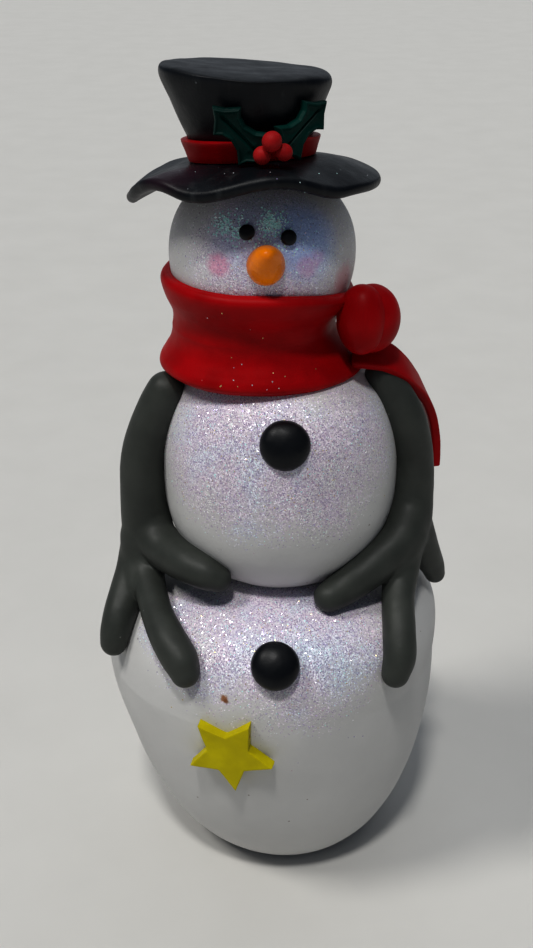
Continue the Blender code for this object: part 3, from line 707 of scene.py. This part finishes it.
hat = {
    "x": -7.2, "lean": -1.4, "foot": 164.4, "top": 181.7,
    "footSlope": (0.06, -0.12), "topSlope": (-0.06, -0.05),
    "crown": [(0.0, 0.985), (6.0, 0.992), (11.0, 0.998), (14.2, 0.999), (15.7, 0.988), (16.5, 0.955),
              (16.8, 0.90), (16.65, 0.83), (15.8, 0.71), (14.2, 0.49), (12.5, 0.26), (11.4, 0.02)],
    "pressed": [(-20.0, -12.5, 181.4, 4.5, 0.5), (-12.5, -16.0, 181.0, 4.8, 1.0),
                (-5.5, -17.0, 180.4, 4.6, 1.3), (1.5, -15.5, 179.8, 4.5, 0.9), (-8.0, -9.0, 182.2, 5.5, 0.4)],
    "brimX": -7.0, "brimRadius": 25.5, "brimDepth": 24.0, "brimThick": 2.8,
    "rim": [(-180, 160.2), (-145, 159.0), (-93, 155.8), (-45, 162.5), (-27, 161.0), (10, 164.4), (45, 160.8),
            (95, 159.5), (130, 159.8), (180, 160.2)],
    "crownWaves": [(0.22, 13.0), (0.08, 5.0)], "brimWaves": [(0.20, 12.0), (0.08, 4.5)],
    "bandWaves": [(0.08, 9.0), (0.03, 4.0)],
    "bandInside": 11.6, "bandThick": 1.06, "bandFlare": 1.1, "bandTop": 0.238, "bandBottom": 0.0,
}


def footPlane(x, y):
    return hat["foot"] + hat["footSlope"][0] * (x - hat["x"]) + hat["footSlope"][1] * y


def topPlane(x, y):
    return hat["top"] + hat["topSlope"][0] * (x - hat["x"]) + hat["topSlope"][1] * y


def setOnHat(verts):
    # height is a share of the crown's height between its two sloping planes
    share = verts[:, 2].copy()
    verts[:, 0] += hat["x"] + hat["lean"] * share
    foot = footPlane(verts[:, 0], verts[:, 1])
    verts[:, 2] = foot + share * (topPlane(verts[:, 0], verts[:, 1]) - foot)
    return verts


def makeCrown():
    outline = smoothPath(hat["crown"], 150)
    outline = np.vstack([outline, [[0, outline[-1, 1]]]])
    outline[0, 0] = 0
    tall = hat["top"] - hat["foot"]
    outline = evenly(outline * (1, tall), 0.28) * (1, 1 / tall)
    outline[-1, 0] = 0
    verts, faces = turned(outline, 280)
    verts = byHand(setOnHat(verts), faces, 41, hat["crownWaves"], hat["pressed"])
    return addPiece("hatCrown", verts, faces, hatClay, "hat_black_clay", "hat_crown")


def makeBand():
    inside, outside = hat["bandInside"], hat["bandInside"] + hat["bandThick"]
    flare, top, bottom = hat["bandFlare"], hat["bandTop"], hat["bandBottom"]
    outline = [(inside + flare - 0.6, top), (outside + flare - 0.3, top), (outside + flare, top - 0.02),
               (outside + flare * 0.5, top * 0.5), (outside, bottom + 0.02), (outside - 0.3, bottom),
               (inside - 0.6, bottom), (inside + flare * 0.5 - 0.6, top * 0.5)]
    verts, faces = turned(smoothPath(outline, 72, loop=True), 260, ring=True)
    verts = byHand(setOnHat(verts), faces, 43, hat["bandWaves"])
    return addPiece("hatBand", verts, faces, redClay, "red_clay", "hat_band")


def rimLevel(angle):
    at = np.array([a for a, _ in hat["rim"]], float)
    level = np.array([z for _, z in hat["rim"]], float)
    i = np.clip(np.searchsorted(at, angle, side="left") - 1, 0, len(at) - 2)
    share = (angle - at[i]) / (at[i + 1] - at[i])
    return level[i] + (level[i + 1] - level[i]) * (1 - np.cos(np.pi * share)) / 2


def brimSheet(ring, angle):
    # the middle of the brim's thickness. ring 1 is the rim, and angle runs from the front to the right
    x = hat["brimX"] + hat["brimRadius"] * ring * np.sin(np.radians(angle))
    y = -hat["brimDepth"] * ring * np.cos(np.radians(angle))
    near = footPlane(x, y) - hat["brimThick"] / 2
    bend = np.maximum(0, (ring - 0.5) / 0.5) ** 1.3
    return np.stack([x, y, near + (rimLevel(angle) - near) * bend], axis=-1)


def makeBrim():
    steps = 300
    half = hat["brimThick"] / 2
    angle = np.linspace(-180, 180, steps, endpoint=False)
    reach = 1 - half / hat["brimRadius"]
    rings = np.linspace(0.02, reach, 70)[:, None] * np.ones(steps)
    angles = np.ones((70, 1)) * angle
    small = 1e-3
    middle = brimSheet(rings, angles)
    outward = brimSheet(rings + small, angles) - middle
    outward /= np.linalg.norm(outward, axis=2, keepdims=True)
    turn = np.where(angles + 0.1 < 180, angles + 0.1, angles)
    around = brimSheet(rings, turn) - brimSheet(rings, angles - np.where(angles > -179.9, 0.1, 0))
    around /= np.linalg.norm(around, axis=2, keepdims=True)
    upward = np.cross(outward, around)
    upward *= np.sign(upward[:, :, 2:])
    # over the top, round the rim, and back underneath
    rim = [middle[-1] + half * (math.cos(a) * upward[-1] + math.sin(a) * outward[-1])
           for a in np.linspace(0, math.pi, 15)[1:-1]]
    rows = np.concatenate([middle + half * upward, rim, (middle - half * upward)[::-1]])
    top = brimSheet(np.array(0.0), np.array(0.0)) + (0, 0, half)
    verts, faces = loft(rows, top=top, bottom=top - (0, 0, 2 * half))
    verts = byHand(verts, faces, 47, hat["brimWaves"])
    return addPiece("hatBrim", verts, faces, hatClay, "hat_black_clay", "hat_brim")


makeCrown()
makeBand()
hatBrim = makeBrim()
print("hat is on")


# Holly and berries

holly = {
    "half": [(0.0, 0.0), (1.9, 1.4), (3.7, 3.6), (4.9, 2.4), (6.6, 1.9), (8.8, 2.5), (11.0, 4.3), (11.6, 2.6),
             (13.0, 1.3)],
    "thick": 1.5, "rim": 0.22, "vein": 0.75,
    "left": {"tip": (-14.2, -16.4, 176.9), "along": (8.8, 0.6, -9.0), "outward": (-0.12, -1.0, -0.1),
             "veinWide": 0.30},
    "right": {"tip": (6.6, -9.7, 176.8), "along": (-7.6, -5.2, -7.4), "outward": (0.56, -0.83, 0.0),
              "veinWide": 0.20},
}


def makeLeaf(name, leaf, node):
    outline = np.array(holly["half"])
    x = np.linspace(0.02, outline[-1, 0], 190)
    wide = np.interp(x, outline[:, 0], outline[:, 1])
    u = np.linspace(-1, 1, 61)
    px = x[:, None] * np.ones(61)
    py = wide[:, None] * u
    # how far each point of the face is from the leaf's edge
    edge = evenly(np.vstack([outline, outline[::-1] * (1, -1)]), 0.1)
    away = np.sqrt(((px[..., None] - edge[:, 0]) ** 2 + (py[..., None] - edge[:, 1]) ** 2).min(axis=2))
    height = holly["thick"] / 2 - 0.35 * np.exp(-(away / 0.16) ** 2)
    height += holly["rim"] * np.exp(-((away - 0.42) / 0.22) ** 2)
    veinReach = step(px, 1.6, 3.0)
    height -= holly["vein"] * np.exp(-(py / leaf["veinWide"]) ** 2) * veinReach
    height -= 0.28 * np.exp(-((away - 1.5) / 1.0) ** 2)
    front = np.stack([px, py, height], axis=2)
    back = np.stack([px, py, np.full_like(px, -holly["thick"] / 2)], axis=2)
    rows = np.concatenate([front, back[:, ::-1]], axis=1)
    verts, faces = loft(rows, top=(0.0, 0.0, 0.0), bottom=(outline[-1, 0], 0.0, 0.0))
    along = Vector(leaf["along"]).normalized()
    across = Vector(leaf["outward"]).cross(along).normalized()
    turn = np.array((along, across, along.cross(across)))
    verts = verts @ turn + leaf["tip"]
    return addPiece(name, verts, faces, greenClay, "green_clay", node)


berries = {
    "berryTop": ((-3.4, -19.0, 171.2), 1.9, "berry_top"),
    "berryLeft": ((-5.2, -17.6, 168.4), 1.75, "berry_left"),
    "berryRight": ((-1.2, -18.0, 169.0), 1.65, "berry_right"),
}


def makeBerry(name, place, radius, node, seed):
    ball = quarter(radius, radius, 2.0, 30)
    outline = np.vstack([ball, ball[::-1][1:] * (1, -1)])
    outline[0, 0] = outline[-1, 0] = 0
    verts, faces = turned(outline, 64)
    verts = byHand(facing(verts, place, (0.2, -1, 0.3)), faces, seed, [(0.08, 2.6)])
    return addPiece(name, verts, faces, berryClay, "red_clay", node)


makeLeaf("hollyLeft", holly["left"], "holly_leaf_left")
makeLeaf("hollyRight", holly["right"], "holly_leaf_right")
for seed, (name, (place, radius, node)) in enumerate(berries.items()):
    makeBerry(name, place, radius, node, 60 + seed)
print("holly is pressed on")


# Face, buttons and star

eyes = {"radius": 1.55, "high": 0.9, "eyeLeft": ((-8.1, -17.3, 154.0), "eye_left"),
        "eyeRight": ((-0.2, -17.4, 153.0), "eye_right")}
nose = {
    "place": (-4.5, -18.5, 148.0), "rise": 34.0, "radius": 3.8, "length": 7.0,
    "outline": [(0.0, 1.0), (0.16, 0.985), (0.34, 0.90), (0.58, 0.68), (0.80, 0.42), (0.95, 0.16),
                (1.0, -0.05), (0.97, -0.25)],
}
buttons = {
    "radius": 5.2, "high": 3.3,
    "buttonUpper": ((-0.7, -23.3, 112.3), (0.0, -0.90, 0.43), "button_upper"),
    "buttonLower": ((-2.6, -35.9, 67.7), (0.02, -0.77, 0.64), "button_lower"),
}


def makeEye(name, place, node, seed):
    dome = quarter(eyes["radius"], eyes["high"], 2.3, 24)
    outline = np.vstack([dome, [[eyes["radius"] * 0.92, -0.6], [0, -0.6]]])
    verts, faces = turned(evenly(outline, 0.1), 48)
    verts = byHand(verts, faces, seed, [(0.05, 2.0)])
    out = np.array(place) - head["centre"]
    return addPiece(name, facing(verts, place, out), faces, blackClay, "black_clay", node)


def makeNose():
    outline = smoothPath(nose["outline"], 60) * (nose["radius"], nose["length"])
    outline = np.vstack([outline, [[0, outline[-1, 1]]]])
    outline[0, 0] = 0
    verts, faces = turned(evenly(outline, 0.12), 110)
    rise = math.radians(nose["rise"])
    way = (0.04, -math.cos(rise), math.sin(rise))
    verts = byHand(facing(verts, nose["place"], way), faces, 71, [(0.10, 5.0), (0.05, 1.8)])
    return addPiece("noseCone", verts, faces, orangeClay, "orange_clay", "nose")


def makeButton(name, place, way, node, seed):
    dome = quarter(buttons["radius"], buttons["high"], 2.3, 50)
    outline = np.vstack([dome, [[buttons["radius"] * 0.97, -0.7], [0, -0.7]]])
    verts, faces = turned(evenly(outline, 0.16), 130)
    verts = byHand(facing(verts, place, way), faces, seed, [(0.10, 7.0), (0.03, 2.5)])
    return addPiece(name, verts, faces, blackClay, "black_clay", node)


star = {"radius": 9.8, "notch": 0.50, "thick": 2.8, "place": (-12.2, -38.1, 46.8), "turn": -13.0, "roll": 8.0,
        "voxel": 0.16, "smoothing": 8, "waves": [(0.10, 6.0), (0.04, 2.2)]}


def makeStar():
    s = star
    corners = []
    for i in range(10):
        size = s["radius"] * (1.0 if i % 2 == 0 else s["notch"])
        angle = math.radians(36 * i - 90)
        corners.append((size * math.cos(angle), size * math.sin(angle)))
    n = len(corners)
    verts = [(x, y, s["thick"] / 2) for x, y in corners] + [(x, y, -s["thick"] / 2) for x, y in corners]
    verts += [(0, 0, s["thick"] / 2), (0, 0, -s["thick"] / 2)]
    faces = []
    for i in range(n):
        j = (i + 1) % n
        faces += [(2 * n, i, j), (2 * n + 1, n + j, n + i), (i, n + i, n + j, j)]
    side = math.radians(s["turn"])
    way = (math.sin(side), -math.cos(side), -0.03)
    verts = facing(np.array(verts), s["place"], way, math.radians(s["roll"]))
    obj = addPiece("cutStar", verts, faces, yellowClay, "yellow_clay", "star")
    knead(obj, s["voxel"], s["smoothing"])
    return reshape(obj, 81, s["waves"])


for seed, name in enumerate(("eyeLeft", "eyeRight")):
    makeEye(name, *eyes[name], 90 + seed)
makeNose()
for seed, name in enumerate(("buttonUpper", "buttonLower")):
    makeButton(name, *buttons[name], 95 + seed)
makeStar()
print("face, buttons and star are on")


# Loose flakes of glitter, thin hexagons that lie a little tilted in the clay

def strewFlakes(name, obj, glitter, slotName):
    rng = np.random.default_rng(glitter["seed"])
    mesh = obj.data
    mesh.calc_loop_triangles()
    points = np.empty(len(mesh.vertices) * 3)
    mesh.vertices.foreach_get("co", points)
    corners = np.empty(len(mesh.loop_triangles) * 3, int)
    mesh.loop_triangles.foreach_get("vertices", corners)
    triangle = points.reshape(-1, 3)[corners.reshape(-1, 3)] / mm
    across = np.cross(triangle[:, 1] - triangle[:, 0], triangle[:, 2] - triangle[:, 0])
    area = np.linalg.norm(across, axis=1)
    wanted = np.zeros(len(area))
    for place, reach, much in glitter["patches"]:
        away = np.linalg.norm(triangle.mean(axis=1) - place, axis=1)
        wanted = np.maximum(wanted, much * np.exp(-(away / reach) ** 2 * 3))
    wanted *= area * (area > 1e-9)
    count = glitter["count"]
    chosen = rng.choice(len(area), count, p=wanted / wanted.sum())
    share = rng.dirichlet((1, 1, 1), count)
    spot = (triangle[chosen] * share[:, :, None]).sum(axis=1)
    upward = across[chosen] / area[chosen, None] + rng.normal(scale=glitter["tilt"], size=(count, 3))
    upward /= np.linalg.norm(upward, axis=1, keepdims=True)
    side = np.cross(upward, rng.normal(size=(count, 3)))
    side /= np.linalg.norm(side, axis=1, keepdims=True)
    other = np.cross(upward, side)
    radius = glitter["size"] / 2 * rng.uniform(0.6, 1.0, count)
    angle = np.arange(6) * np.pi / 3
    ring = side[:, None] * np.cos(angle)[:, None] + other[:, None] * np.sin(angle)[:, None]
    ring = ring * radius[:, None, None]
    thick = upward[:, None] * 0.03
    rows = np.concatenate([spot[:, None] + ring + thick, spot[:, None] + ring - thick], axis=1)
    plate = [tuple(range(6)), tuple(range(11, 5, -1))]
    plate += [(i, i + 6, (i + 1) % 6 + 6, (i + 1) % 6) for i in range(6)]
    faces = [tuple(k + 12 * i for k in face) for i in range(count) for face in plate]
    flakes = addPiece(name, rows.reshape(-1, 3), faces, foils[0], slotName)
    for foil in foils[1:]:
        flakes.data.materials.append(foil)
    kinds = rng.choice(len(foils), count, p=glitter["foils"])
    flakes.data.polygons.foreach_set("material_index", np.repeat(kinds, len(plate)).astype(np.int32))
    flakes.data.shade_flat()
    return flakes


# foils: the shares of silver, violet, pink, teal and gold
flakesOnBelly = {"patches": [((1.0, -30.0, 71.0), 20.0, 1.0), ((-13.0, -28.0, 69.5), 16.0, 1.0),
                             ((14.0, -27.0, 72.0), 14.0, 0.6), ((-24.0, -24.0, 72.0), 11.0, 0.9),
                             ((0.0, 26.0, 72.0), 24.0, 0.2)],
                 "count": 3100, "size": 0.31, "tilt": 0.22,
                 "foils": (0.42, 0.24, 0.14, 0.15, 0.05), "seed": 201}
flakesOnChest = {"patches": [((-9.0, -20.0, 112.0), 22.0, 1.0), ((4.0, -24.0, 108.0), 18.0, 1.0),
                             ((13.0, -19.0, 111.0), 14.0, 0.6), ((0.0, 22.0, 108.0), 22.0, 0.2)],
                 "count": 3000, "size": 0.29, "tilt": 0.22,
                 "foils": (0.42, 0.22, 0.18, 0.12, 0.06), "seed": 202}
flakesOnHead = {"patches": [((-5.0, -17.0, 148.0), 17.0, 0.7), ((-5.0, 12.0, 150.0), 20.0, 0.15)],
                "count": 1300, "size": 0.27, "tilt": 0.20,
                "foils": (0.46, 0.28, 0.14, 0.10, 0.02), "seed": 203}
# the brow flakes are real teal glitter, made as pale as the foil goes so that in the brim's shadow they stand
# in for glints: partly a painted glint
flakesOnBrow = {"patches": [((-3.3, -17.0, 156.0), 3.2, 1.0), ((-13.0, -15.5, 155.5), 3.2, 0.5),
                            ((-10.5, -16.5, 154.5), 3.6, 0.3), ((-4.5, -18.5, 151.0), 6.0, 0.05)],
                "count": 560, "size": 0.54, "tilt": 0.30, "foils": (0.10, 0.0, 0.0, 0.90, 0.0), "seed": 204}
flakesOnScarf = {"patches": [((-12.0, -20.0, 123.5), 9.0, 1.0), ((-3.0, -19.0, 124.0), 12.0, 0.5),
                             ((-10.0, -17.0, 131.0), 12.0, 0.2), ((-5.0, 18.0, 128.0), 20.0, 0.1)],
                 "count": 46, "size": 0.38, "tilt": 0.25, "foils": (0.25, 0.0, 0.1, 0.1, 0.55), "seed": 205}
flakesOnHat = {"patches": [((-7.0, -20.0, 165.0), 26.0, 1.0)],
               "count": 40, "size": 0.26, "tilt": 0.25, "foils": (0.6, 0.1, 0.0, 0.3, 0.0), "seed": 206}
strewFlakes("glitterBelly", bellyBall, flakesOnBelly, "white_clay")
strewFlakes("glitterChest", chestBall, flakesOnChest, "white_clay")
strewFlakes("glitterHead", headBall, flakesOnHead, "white_clay")
strewFlakes("glitterBrow", headBall, flakesOnBrow, "white_clay")
strewFlakes("glitterScarf", collar, flakesOnScarf, "red_clay")
strewFlakes("glitterHat", hatBrim, flakesOnHat, "hat_black_clay")
print("glitter is strewn")
